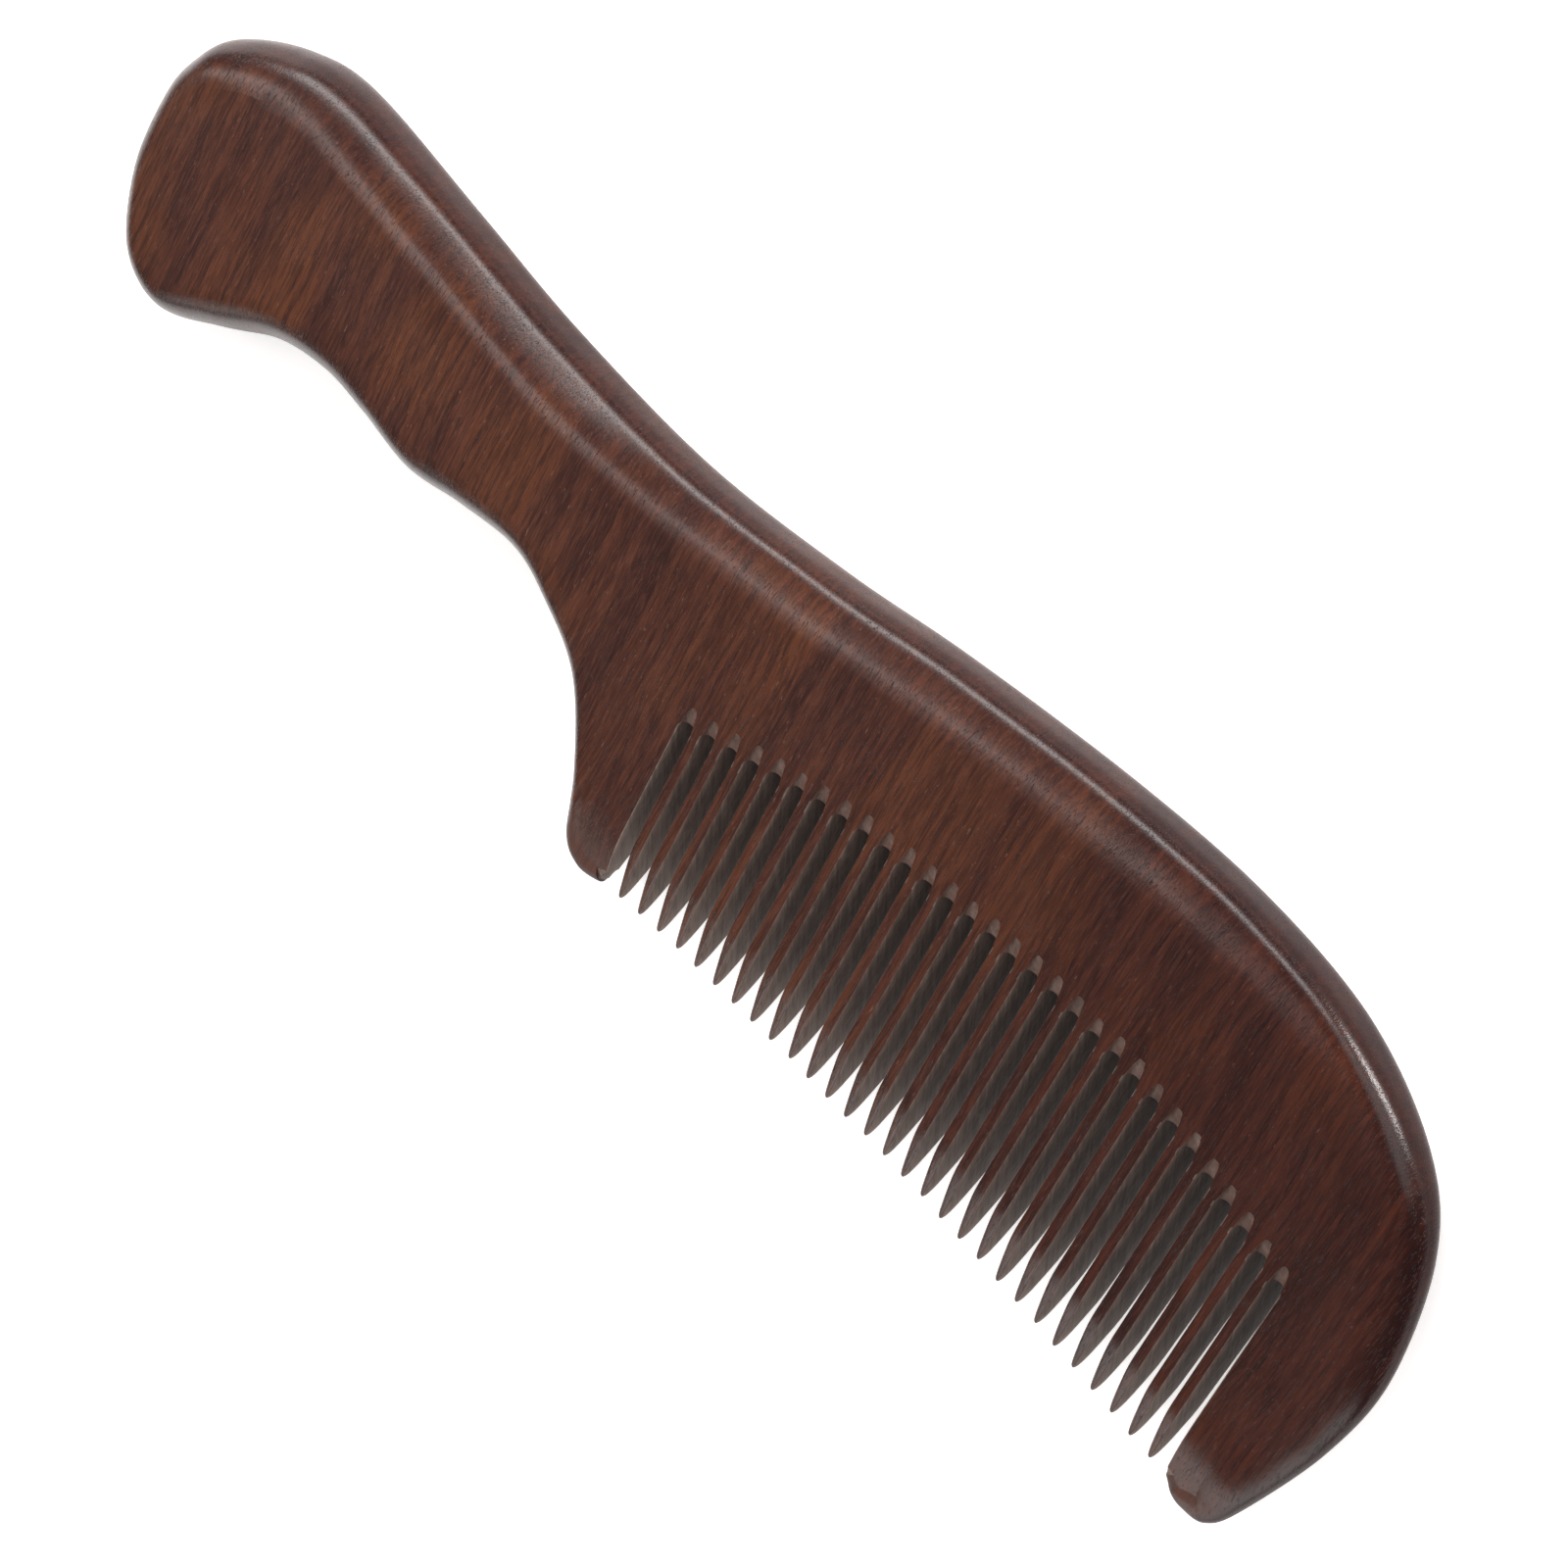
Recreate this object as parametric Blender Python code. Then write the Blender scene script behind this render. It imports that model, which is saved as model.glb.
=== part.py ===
"""A handled wooden hair comb, lying flat, in metres with +Z up.

X runs from the butt of the handle to the toe, Y from the tooth tips to the back, Z through the
thickness. The comb is mirror-symmetric about its mid-plane. It is modelled about the tip of its
middle tooth, with the mid-plane at z = 0, and the empty "comb" then stands it on the ground.

The blank is divided into its members: the handle, the rail along the back, the web that the
slots end in, the guard at each end of the row, and every tooth. Neighbours face each other
across a joint line of JOINT_GAP.
"""
import math

import bmesh
import bpy
from mathutils import Vector
from mathutils.geometry import delaunay_2d_cdt

MM = 0.001

# Row of teeth
TOOTH_COUNT = 29
PITCH = 3.0 * MM
TOOTH_WIDTH = 1.2 * MM
TOOTH_EDGE = 0.2 * MM          # chamfer along the four edges of a tooth
NOSE_LENGTH = 8.0 * MM         # stretch over which a tooth thins towards its tip
NOSE_POWER = 1.6               # how full that thinning is
POINT_LENGTH = 3.5 * MM        # stretch over which a tooth narrows towards its tip
TIP_HALF = 0.28 * MM           # half thickness of the very tip
TIP_SAG = 2.0 * MM             # how far the end teeth reach below the middle one
SLOT_TOP = ((-1.0, 23.4), (-0.5, 29.5), (0.0, 32.2), (0.5, 32.2), (1.0, 27.0))
RUNOUT_LENGTH = 2.6 * MM       # sloped end of a slot, on each face
RUNOUT_DEPTH = 1.0 * MM
STUB_LENGTH = 1.0 * MM         # the web's share of a tooth, below the slot's end

# Blank
BODY_DEPTH = 52.2 * MM         # from the middle tip to the crest of the back
HANDLE_LENGTH = 97.3 * MM      # from the heel end of the row to the butt
GUARD_DROP = 2.8 * MM          # how far the guards reach below the middle tip
FACE_HALF_AT_TIPS = 1.75 * MM  # half thickness of the tapered face, carried down to y = 0
FACE_SLOPE = 0.063             # half thickness gained per unit of y, at the middle tooth
FACE_WIND = 0.36               # slope lost per metre of x, so the toe is thinner than the heel
HANDLE_HALF = 5.5 * MM         # half thickness of the handle
TWIST_START = 7.0 * MM         # the tapered face starts to become the handle's flat face here,
TWIST_LENGTH = 28.0 * MM       # measured from the heel end of the row, and is flat after this

# Rail along the back
RAIL_DEPTH = 6.5 * MM
RIDGE_INSET = 0.6 * MM         # the crisp edge beside the back strip
RIDGE_HALF = 3.4 * MM
SHOULDER_INSET = 4.0 * MM      # where the bevel turns into the face

JOINT_GAP = 0.3 * MM           # between neighbouring members
THREE_WAY_INSET = 1.0 * MM     # how far inside the rounded edge three members meet
FILL_SPACING = 9.0 * MM        # spacing of the points that carry a curved face

OUTLINE_STEPS = 3              # points on each span of the outline
LEVELS = 6                     # steps from the mid-plane up to the face
ROUND_STEPS = 6                # points round the end of a slot

ROW_HALF = PITCH * (TOOTH_COUNT + 1) / 2
SLOT_HALF = (PITCH - TOOTH_WIDTH) / 2
GUARD_WALL = PITCH * TOOTH_COUNT / 2 + SLOT_HALF

# The outline's points, in millimetres and clockwise from the heel's inner corner. Each list has
# its own measure along the comb. The last two numbers of a row are the radius of the rounded
# edge there, and how much of the back's ridged edge it has instead, from 0 to 1.
# Heel: beyond the heel end of the row, height above the middle tip.
HEEL = ((0.2, -2.1, 1.4, 0), (3.5, -2.8, 1.6, 0), (6.6, -0.8, 1.8, 0), (9.2, 5.8, 2.2, 0),
        (15.0, 14.6, 3.0, 0))
# Grip and butt: share of the handle's length, depth below the crest of the back.
GRIP = ((0.225, 33.4, 3.6, 0), (0.288, 31.5, 4.2, 0), (0.375, 32.6, 4.5, 0),
        (0.457, 34.2, 4.5, 0), (0.545, 33.3, 4.5, 0), (0.617, 33.0, 4.5, 0),
        (0.700, 34.8, 4.5, 0), (0.786, 39.4, 4.5, 0), (0.873, 43.2, 4.5, 0),
        (0.950, 40.2, 4.5, 0), (0.994, 31.2, 4.5, 0), (0.998, 21.6, 4.5, 0),
        (0.982, 16.2, 4.5, 0), (0.948, 11.8, 4.5, 0))
BACK_OF_GRIP = ((0.863, 7.5, 4.5, 0), (0.766, 5.9, 4.5, 0.6), (0.565, 7.7, 4.5, 1),
                (0.380, 9.4, 4.5, 1), (0.154, 9.75, 4.5, 1))
# Back: share of half the row's length from its middle, depth below the crest.
BACK = ((-0.88, 7.3, 4.5, 1), (-0.49, 4.1, 4.5, 1), (0.0, 1.1, 4.5, 1), (0.40, 0.0, 4.5, 1),
        (0.75, 1.6, 4.5, 1))
# Upper toe: beyond the toe end of the row, depth below the crest.
UPPER_TOE = ((1.5, 7.0, 4.5, 1), (8.4, 14.6, 4.0, 1))
# Toe guard: beyond the toe end of the row, height above the middle tip.
TOE = ((11.8, 25.0, 3.2, 1), (11.1, 14.0, 3.0, 0), (7.6, 2.0, 2.6, 0), (5.6, -1.9, 2.0, 0),
       (3.0, -2.8, 1.6, 0), (1.0, -2.5, 1.4, 0), (-0.3, -1.1, 1.0, 0))


def outline_controls():
    """The outline's points in metres, as (x, y, edge radius, ridge share)."""
    rows = [(-ROW_HALF - x * MM, y * MM, r, s) for x, y, r, s in HEEL]
    rows += [(-ROW_HALF - f * HANDLE_LENGTH, BODY_DEPTH - d * MM, r, s)
             for f, d, r, s in GRIP + BACK_OF_GRIP]
    rows += [(f * ROW_HALF, BODY_DEPTH - d * MM, r, s) for f, d, r, s in BACK]
    rows += [(ROW_HALF + x * MM, BODY_DEPTH - d * MM, r, s) for x, d, r, s in UPPER_TOE]
    rows += [(ROW_HALF + x * MM, y * MM, r, s) for x, y, r, s in TOE]
    return [(x, y, r * MM, s) for x, y, r, s in rows]


# Where one member's stretch of the outline ends and the next one's starts, as point numbers.
HEEL_END = len(HEEL) - 1
RAIL_START = HEEL_END + len(GRIP) + 1
GRIP_END = RAIL_START + len(BACK_OF_GRIP) - 1
RAIL_END = GRIP_END + len(BACK) + len(UPPER_TOE) + 1


def catmull_rom(rows, steps):
    """A smooth curve through rows of numbers, with steps points on each span."""
    rows = [tuple(row) for row in rows]
    first = tuple(2 * a - b for a, b in zip(rows[0], rows[1]))
    last = tuple(2 * a - b for a, b in zip(rows[-1], rows[-2]))
    padded = [first] + rows + [last]
    curve = []
    for i in range(len(rows) - 1):
        p0, p1, p2, p3 = padded[i:i + 4]
        for step in range(steps):
            t = step / steps
            curve.append(tuple(
                0.5 * (2 * b + (c - a) * t + (2 * a - 5 * b + 4 * c - d) * t * t
                       + (3 * b - a - 3 * c + d) * t ** 3)
                for a, b, c, d in zip(p0, p1, p2, p3)))
    curve.append(rows[-1])
    return curve


def smoothstep(t):
    t = min(max(t, 0.0), 1.0)
    return t * t * (3 - 2 * t)


def nose_share(distance):
    """How much of the face's half thickness is left at a distance from a tip."""
    if distance >= NOSE_LENGTH:
        return 1.0
    return 1 - (1 - max(distance, 0.0) / NOSE_LENGTH) ** NOSE_POWER


def tapered_half(x, y):
    """Half thickness of the tapered face, before it twists or thins."""
    return FACE_HALF_AT_TIPS + (FACE_SLOPE - FACE_WIND * x) * y


def face_half(x, y):
    """Half thickness of the blank at a point of its face."""
    tapered = tapered_half(x, y)
    twist = smoothstep((-ROW_HALF - TWIST_START - x) / TWIST_LENGTH)
    half = tapered + (HANDLE_HALF - tapered) * twist
    if twist < 1 and y < NOSE_LENGTH:
        half = TIP_HALF + (half - TIP_HALF) * nose_share(y + GUARD_DROP)
    return half


def tip_y(x):
    return -TIP_SAG * (x / ROW_HALF) ** 2


def slot_top_y(x):
    """Height of the upper end of a slot's run-out."""
    share = x / ROW_HALF
    curve = catmull_rom(SLOT_TOP, 12)
    for (a, low), (b, high) in zip(curve, curve[1:]):
        if share <= b:
            return (low + (high - low) * (share - a) / (b - a)) * MM
    return curve[-1][1] * MM


def slot_x(number):
    return (number - (TOOTH_COUNT + 1) / 2 - 0.5) * PITCH


def tooth_x(number):
    return (number - (TOOTH_COUNT + 1) / 2) * PITCH


def slot_end_y(number):
    """Height at which slot number is open from face to face."""
    return slot_top_y(slot_x(number)) - RUNOUT_LENGTH


def stub_y(number):
    """Height of the joint line between the web and a tooth."""
    return min(slot_end_y(number), slot_end_y(number + 1)) - STUB_LENGTH


def edge_column(x, y, inward, radius, ridge_share, depth):
    """Points from the mid-plane up to the face, across a rounded or ridged outer edge.

    depth is how far in from the outline the column ends, on the face.
    """
    face = face_half(x + inward.x * depth, y + inward.y * depth)
    ridge = min(RIDGE_HALF, 0.93 * face)
    bevel_top = ridge + 0.88 * (face - ridge)
    ridged = ((0, 0), (0.25 * RIDGE_INSET, 0.55 * ridge), (RIDGE_INSET, ridge),
              (0.55 * SHOULDER_INSET, ridge + 0.36 * (face - ridge)),
              (SHOULDER_INSET, bevel_top), (SHOULDER_INSET + 1.2 * MM, 0.985 * face),
              (depth, face))
    column = []
    for level in range(LEVELS + 1):
        angle = min(level / (LEVELS - 1), 1.0) * math.pi / 2
        u_round = radius * (1 - math.cos(angle)) if level < LEVELS else depth
        z_round = face * math.sin(angle)
        u_ridge, z_ridge = ridged[level]
        u = u_round + (u_ridge - u_round) * ridge_share
        z = z_round + (z_ridge - z_round) * ridge_share
        column.append(Vector((x + inward.x * u, y + inward.y * u, z)))
    return column


def plate_depth(station):
    """How far in from the outline the shaped edge of a plate reaches."""
    radius, ridge_share = station[3:]
    return radius + (RAIL_DEPTH - radius) * ridge_share


def wall_column(x, y):
    """Points from the mid-plane up to the face, straight up a sawn or joint wall."""
    face = face_half(x, y)
    return [Vector((x, y, face * level / LEVELS)) for level in range(LEVELS + 1)]


def outline_stations():
    """Every outline point with its inward normal, edge radius and ridge share."""
    curve = catmull_rom(outline_controls(), OUTLINE_STEPS)
    stations = []
    for i, (x, y, radius, ridge_share) in enumerate(curve):
        before = curve[max(i - 1, 0)]
        after = curve[min(i + 1, len(curve) - 1)]
        along = Vector((after[0] - before[0], after[1] - before[1])).normalized()
        inward = Vector((along.y, -along.x))
        stations.append((x, y, inward, radius, min(max(ridge_share, 0.0), 1.0)))
    return stations


def new_object(name, bm, location=(0, 0, 0)):
    bmesh.ops.recalc_face_normals(bm, faces=bm.faces[:])
    mesh = bpy.data.meshes.new(name)
    bm.to_mesh(mesh)
    bm.free()
    mesh.shade_smooth()
    mesh.set_sharp_from_angle(angle=math.radians(32))
    obj = bpy.data.objects.new(name, mesh)
    obj.location = location
    obj.parent = bpy.data.objects["comb"]
    bpy.context.collection.objects.link(obj)
    return obj


def fill_points(ring):
    """Points of a square grid that lie well inside a closed ring."""
    xs = [p.x for p in ring]
    ys = [p.y for p in ring]
    margin = 0.35 * FILL_SPACING
    inside = []
    columns = int((max(xs) - min(xs)) / FILL_SPACING)
    rows = int((max(ys) - min(ys)) / FILL_SPACING)
    for i in range(1, columns + 1):
        for j in range(1, rows + 1):
            x = min(xs) + (i - 0.5) * FILL_SPACING
            y = min(ys) + (j - 0.5) * FILL_SPACING
            if is_inside(x, y, ring) and min((p.xy - Vector((x, y))).length for p in ring) > margin:
                inside.append(Vector((x, y)))
    return inside


def is_inside(x, y, ring):
    crossings = 0
    for a, b in zip(ring, ring[1:] + ring[:1]):
        if (a.y > y) != (b.y > y) and x < a.x + (b.x - a.x) * (y - a.y) / (b.y - a.y):
            crossings += 1
    return crossings % 2 == 1


def plate(name, columns):
    """A closed solid from a loop of columns, mirrored about the mid-plane."""
    ring = [column[-1] for column in columns]
    extra = fill_points(ring)
    flat = [p.xy for p in ring] + extra
    edges = [(i, (i + 1) % len(ring)) for i in range(len(ring))]
    points, _, triangles, origins, _, _ = delaunay_2d_cdt(flat, edges, [], 1, 1e-7)
    bm = bmesh.new()
    for side in (1, -1):
        sided = [[bm.verts.new((p.x, p.y, side * p.z)) for p in column] for column in columns]
        for column, following in zip(sided, sided[1:] + sided[:1]):
            for level in range(LEVELS):
                corners = (column[level], following[level], following[level + 1], column[level + 1])
                bm.faces.new(corners if side > 0 else corners[::-1])
        tops = {}
        for number, point in enumerate(points):
            source = min(origins[number])
            if source < len(sided):
                tops[number] = sided[source][-1]
            else:
                tops[number] = bm.verts.new((point.x, point.y, side * face_half(*point)))
        for triangle in triangles:
            corners = [tops[number] for number in triangle]
            bm.faces.new(corners if side < 0 else corners[::-1])
    bmesh.ops.remove_doubles(bm, verts=bm.verts[:], dist=1e-6)
    bmesh.ops.dissolve_degenerate(bm, edges=bm.edges[:], dist=1e-6)
    return new_object(name, bm)


def loft(name, sections, location=(0, 0, 0)):
    """A closed solid through sections of equal point counts, capped at both ends."""
    bm = bmesh.new()
    rings = [[bm.verts.new(point) for point in section] for section in sections]
    for ring, following in zip(rings, rings[1:]):
        count = len(ring)
        for i in range(count):
            j = (i + 1) % count
            bm.faces.new((ring[i], ring[j], following[j], following[i]))
    bm.faces.new(rings[0][::-1])
    bm.faces.new(rings[-1])
    return new_object(name, bm, location)


def shifted(column, dx, dy):
    return [Vector((p.x + dx, p.y + dy, p.z)) for p in column]


def rail_line(station, depth):
    """The point where the back rail meets the face, on one station."""
    x, y, inward = station[:3]
    return Vector((x + inward.x * depth, y + inward.y * depth))


def build_rail(stations):
    """The rail along the back: strip, ridges, bevels and shoulders, butt to toe."""
    sections = []
    stretch = stations[RAIL_START * OUTLINE_STEPS:RAIL_END * OUTLINE_STEPS + 1]
    for i, station in enumerate(stretch):
        column = edge_column(*station, RAIL_DEPTH - JOINT_GAP / 2)
        if i in (0, len(stretch) - 1):
            column = along_outline(column, station, JOINT_GAP / 2 if i == 0 else -JOINT_GAP / 2)
        mirrored = [Vector((p.x, p.y, -p.z)) for p in column[:0:-1]]
        sections.append(column + mirrored)
    return loft("back_rail", sections)


def rail_walls(stations, first, last):
    """Joint walls facing the rail, between two of the outline's points."""
    stretch = stations[first * OUTLINE_STEPS:last * OUTLINE_STEPS + 1]
    return [wall_column(*rail_line(station, RAIL_DEPTH + JOINT_GAP / 2)) for station in stretch]


def straight_walls(start, end, count):
    """Joint walls along a straight line, without its two ends."""
    return [wall_column(*start.lerp(end, i / (count + 1))) for i in range(1, count + 1)]


def three_way(stations):
    """The point inside the outline where handle, web and heel guard meet."""
    station = stations[HEEL_END * OUTLINE_STEPS]
    return rail_line(station, station[3] + THREE_WAY_INSET)


def along_outline(column, station, distance):
    """A column moved along the outline, clockwise for a positive distance."""
    inward = station[2]
    return shifted(column, -inward.y * distance, inward.x * distance)


def build_handle(stations):
    """The grip and butt, up to the joint lines with the rail, the web and the heel guard."""
    half_gap = JOINT_GAP / 2
    stretch = stations[HEEL_END * OUTLINE_STEPS:RAIL_START * OUTLINE_STEPS + 1]
    columns = [edge_column(*station, plate_depth(station)) for station in stretch]
    columns[0] = along_outline(columns[0], stretch[0], half_gap)
    columns[-1] = along_outline(columns[-1], stretch[-1], -half_gap)
    columns += rail_walls(stations, RAIL_START, GRIP_END)
    columns[-1] = wall_column(columns[-1][0].x - half_gap, columns[-1][0].y)
    meeting = three_way(stations) + Vector((-half_gap, 0))
    columns += straight_walls(columns[-1][0].xy, meeting, 2)
    columns.append(wall_column(*meeting))
    return plate("handle", columns)


def slot_columns(number, right_low, left_low):
    """Walls and end of one slot, from its right wall over the run-out to its left wall."""
    x = slot_x(number)
    end = slot_end_y(number)
    columns = [wall_column(x + SLOT_HALF, right_low)]
    for step in range(ROUND_STEPS + 1):
        angle = math.pi * step / ROUND_STEPS
        across = SLOT_HALF * math.cos(angle)
        reach = math.sin(angle)
        base_y = end + 0.35 * SLOT_HALF * reach
        top_x = x + across * (1 - 0.3 * reach)
        top_y = end + RUNOUT_LENGTH * math.sqrt(reach)
        face = face_half(top_x, top_y)
        column = [Vector((x + across, base_y, (face - RUNOUT_DEPTH) * level / (LEVELS - 1)))
                  for level in range(LEVELS)]
        column.append(Vector((top_x, top_y, face)))
        columns.append(column)
    columns.append(wall_column(x - SLOT_HALF, left_low))
    return columns


def build_web(stations):
    """The plate between the rail and the teeth, with every slot's end and the tooth stubs."""
    half_gap = JOINT_GAP / 2
    rail = rail_walls(stations, GRIP_END, RAIL_END)
    rail[0] = wall_column(rail[0][0].x + half_gap, rail[0][0].y)
    toe_y = rail[-1][0].y + half_gap
    rail[-1] = wall_column(rail[-1][0].x, toe_y)
    columns = list(rail)
    columns += slot_walls(toe_y, stub_y(1) + half_gap)
    corner = three_way(stations) + Vector((half_gap, half_gap))
    columns += straight_walls(columns[-1][0].xy, corner, 1)
    columns.append(wall_column(*corner))
    columns += straight_walls(corner, rail[0][0].xy, 2)
    return plate("web", columns)


def slot_walls(toe_y, heel_y):
    """All slots from the toe to the heel, joined by the stubs of the teeth."""
    columns = []
    for number in range(TOOTH_COUNT + 1, 0, -1):
        right_low = toe_y if number > TOOTH_COUNT else stub_y(number) + JOINT_GAP / 2
        left_low = heel_y if number == 1 else stub_y(number - 1) + JOINT_GAP / 2
        columns += slot_columns(number, right_low, left_low)
    return columns


def guard_wall(wall_x, low, high, count=5):
    """Sawn inner wall of a guard, from low to high."""
    return [wall_column(wall_x, low + (high - low) * i / count) for i in range(count + 1)]


def build_heel_guard(stations):
    half_gap = JOINT_GAP / 2
    stretch = stations[:HEEL_END * OUTLINE_STEPS + 1]
    columns = [edge_column(*station, plate_depth(station)) for station in stretch]
    columns[-1] = along_outline(columns[-1], stretch[-1], -half_gap)
    meeting = three_way(stations) + Vector((0, -half_gap))
    inner = guard_wall(-GUARD_WALL, tip_y(ROW_HALF) + NOSE_LENGTH / 4, stub_y(1) - half_gap)[::-1]
    columns.append(wall_column(*meeting))
    columns += straight_walls(meeting, inner[0][0].xy, 1)
    return plate("heel_guard", columns + inner)


def build_toe_guard(stations):
    stretch = stations[RAIL_END * OUTLINE_STEPS:]
    columns = [edge_column(*station, plate_depth(station)) for station in stretch]
    columns[0] = along_outline(columns[0], stretch[0], JOINT_GAP / 2)
    under_rail = wall_column(*rail_line(stretch[0], RAIL_DEPTH + JOINT_GAP))
    under_rail = along_outline(under_rail, stretch[0], JOINT_GAP / 2)
    inner = guard_wall(GUARD_WALL, tip_y(ROW_HALF) + NOSE_LENGTH / 4, under_rail[0].y)
    return plate("toe_guard", columns + inner + [under_rail])


def tooth_section(half_width, y, half):
    """Eight points round a tooth: a rectangle with its four edges broken."""
    edge = min(TOOTH_EDGE, 0.45 * half_width, 0.45 * half)
    quarter = ((half_width, half - edge), (half_width - edge, half))
    points = [Vector((x, y, z)) for x, z in quarter]
    points += [Vector((-x, y, z)) for x, z in quarter[::-1]]
    points += [Vector((-x, y, -z)) for x, z in quarter]
    points += [Vector((x, y, -z)) for x, z in quarter[::-1]]
    return points


def build_tooth(number):
    """One tooth, with its origin on the middle of its tip."""
    x = tooth_x(number)
    low = tip_y(x)
    length = stub_y(number) - JOINT_GAP / 2 - low
    sections = []
    for share in (0.0, 0.04, 0.12, 0.25, 0.45, 0.7, 1.0):
        sections.append(share * NOSE_LENGTH)
    sections.append(length)
    rings = []
    for y in sections:
        narrow = math.sqrt(max(1 - (1 - min(y / POINT_LENGTH, 1.0)) ** 2, 0.06))
        tapered = tapered_half(x, y + low)
        half = TIP_HALF + (tapered - TIP_HALF) * nose_share(y)
        rings.append(tooth_section(TOOTH_WIDTH / 2 * narrow, y, half))
    return loft(f"tooth_{number:02d}", rings, (x, low, 0))


def wood(name, colour, roughness):
    material = bpy.data.materials.new(name)
    material.use_nodes = True
    shader = material.node_tree.nodes["Principled BSDF"]
    shader.inputs["Base Color"].default_value = (*colour, 1.0)
    shader.inputs["Roughness"].default_value = roughness
    shader.inputs["Metallic"].default_value = 0.0
    return material


def place_comb(objects):
    """Stands the comb on the ground, with the middle of its footprint at the origin."""
    corners = [obj.location + v.co for obj in objects for v in obj.data.vertices]
    middle = [(min(c[i] for c in corners) + max(c[i] for c in corners)) / 2 for i in (0, 1)]
    bottom = min(c.z for c in corners)
    bpy.data.objects["comb"].location = (-middle[0], -middle[1], -bottom)


def main():
    for obj in list(bpy.data.objects):
        bpy.data.objects.remove(obj)
    bpy.context.collection.objects.link(bpy.data.objects.new("comb", None))
    stations = outline_stations()
    members = {
        build_handle(stations): (0.075, 0.033, 0.024),
        build_rail(stations): (0.062, 0.027, 0.022),
        build_web(stations): (0.082, 0.030, 0.022),
        build_heel_guard(stations): (0.075, 0.031, 0.023),
        build_toe_guard(stations): (0.070, 0.026, 0.022),
    }
    for number in range(1, TOOTH_COUNT + 1):
        members[build_tooth(number)] = (0.085, 0.045, 0.038)
    for obj, colour in members.items():
        roughness = 0.55 if obj.name.startswith("tooth") else 0.38
        obj.data.materials.append(wood(obj.name + "_wood", colour, roughness))
    place_comb(list(members))


main()
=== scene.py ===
"""Looks of the handled wooden hair comb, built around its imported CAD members.

Every member of the frame gets a finely modelled stand-in. All of them are laid out about the
tip of the middle tooth, from the frame's own dimensions, and then moved to where the frame has
that tip. Their object origins stay at the world's origin, so the wood's figure, which is read
from object coordinates, runs unbroken from one member into the next.
"""
import math
import random

import bpy
import numpy as np
from mathutils import Matrix, Vector
from mathutils.geometry import delaunay_2d_cdt


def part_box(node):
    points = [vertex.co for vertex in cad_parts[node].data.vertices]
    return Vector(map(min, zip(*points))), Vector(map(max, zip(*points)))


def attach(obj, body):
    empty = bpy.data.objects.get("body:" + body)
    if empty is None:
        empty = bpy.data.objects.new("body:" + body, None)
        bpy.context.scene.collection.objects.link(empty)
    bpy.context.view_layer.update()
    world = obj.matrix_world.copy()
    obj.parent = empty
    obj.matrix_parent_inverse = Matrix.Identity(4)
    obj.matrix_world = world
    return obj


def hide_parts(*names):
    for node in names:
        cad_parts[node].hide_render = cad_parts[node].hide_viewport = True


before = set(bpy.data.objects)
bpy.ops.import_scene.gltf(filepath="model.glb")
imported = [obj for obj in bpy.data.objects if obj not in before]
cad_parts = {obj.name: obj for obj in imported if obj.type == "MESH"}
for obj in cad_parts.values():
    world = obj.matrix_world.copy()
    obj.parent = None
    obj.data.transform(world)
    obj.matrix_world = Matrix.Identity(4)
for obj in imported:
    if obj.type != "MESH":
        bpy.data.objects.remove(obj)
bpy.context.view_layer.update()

MM = 0.001

# Dimensions of the frame, in millimetres
TOOTH_COUNT = 29
PITCH = 3.0
TOOTH_WIDTH = 1.2
NOSE_LENGTH = 8.0
NOSE_POWER = 1.6
POINT_LENGTH = 3.5
TIP_HALF = 0.28
TIP_SAG = 2.0
SLOT_TOP = ((-1.0, 23.4), (-0.5, 29.5), (0.0, 32.2), (0.5, 32.2), (1.0, 27.0))
RUNOUT_LENGTH = 2.6
RUNOUT_DEPTH = 1.0
STUB_LENGTH = 1.0
BODY_DEPTH = 52.2
HANDLE_LENGTH = 97.3
GUARD_DROP = 2.8
FACE_HALF_AT_TIPS = 1.75
FACE_SLOPE = 0.063
FACE_WIND = 0.00036
HANDLE_HALF = 5.5
TWIST_START = 7.0
TWIST_LENGTH = 28.0
RAIL_DEPTH = 6.5
RIDGE_HALF = 3.4
THREE_WAY_INSET = 1.0
ROW_HALF = PITCH * (TOOTH_COUNT + 1) / 2
SLOT_HALF = (PITCH - TOOTH_WIDTH) / 2
GUARD_WALL = PITCH * TOOTH_COUNT / 2 + SLOT_HALF

# Fineness of the visual model
STEPS = 12                     # stations on each span of the outline
LEVELS = 21                    # steps from the mid-plane up to the face
FLAT_LEVELS = 5                # levels between a rounded edge and the joint behind it
ARRIS_LEVELS = 5               # levels over a softened sawn edge
JOINT_STEPS = 8                # stations on a long straight joint
SHORT_JOINT_STEPS = 3          # stations on a short one
WALL_STEPS = 12                # spans up the sawn wall of a guard
SLOT_STEPS = 16                # spans round the closed end of a slot
SECTION_SPACING = 3.0          # distance between sections along the straight of a tooth
FILL = 2.2                     # spacing of the points that carry a face
WEB_FILL = 2.0                 # the same on the web, which has to pass between the slots
SHARP_ANGLE = math.radians(42)

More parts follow.
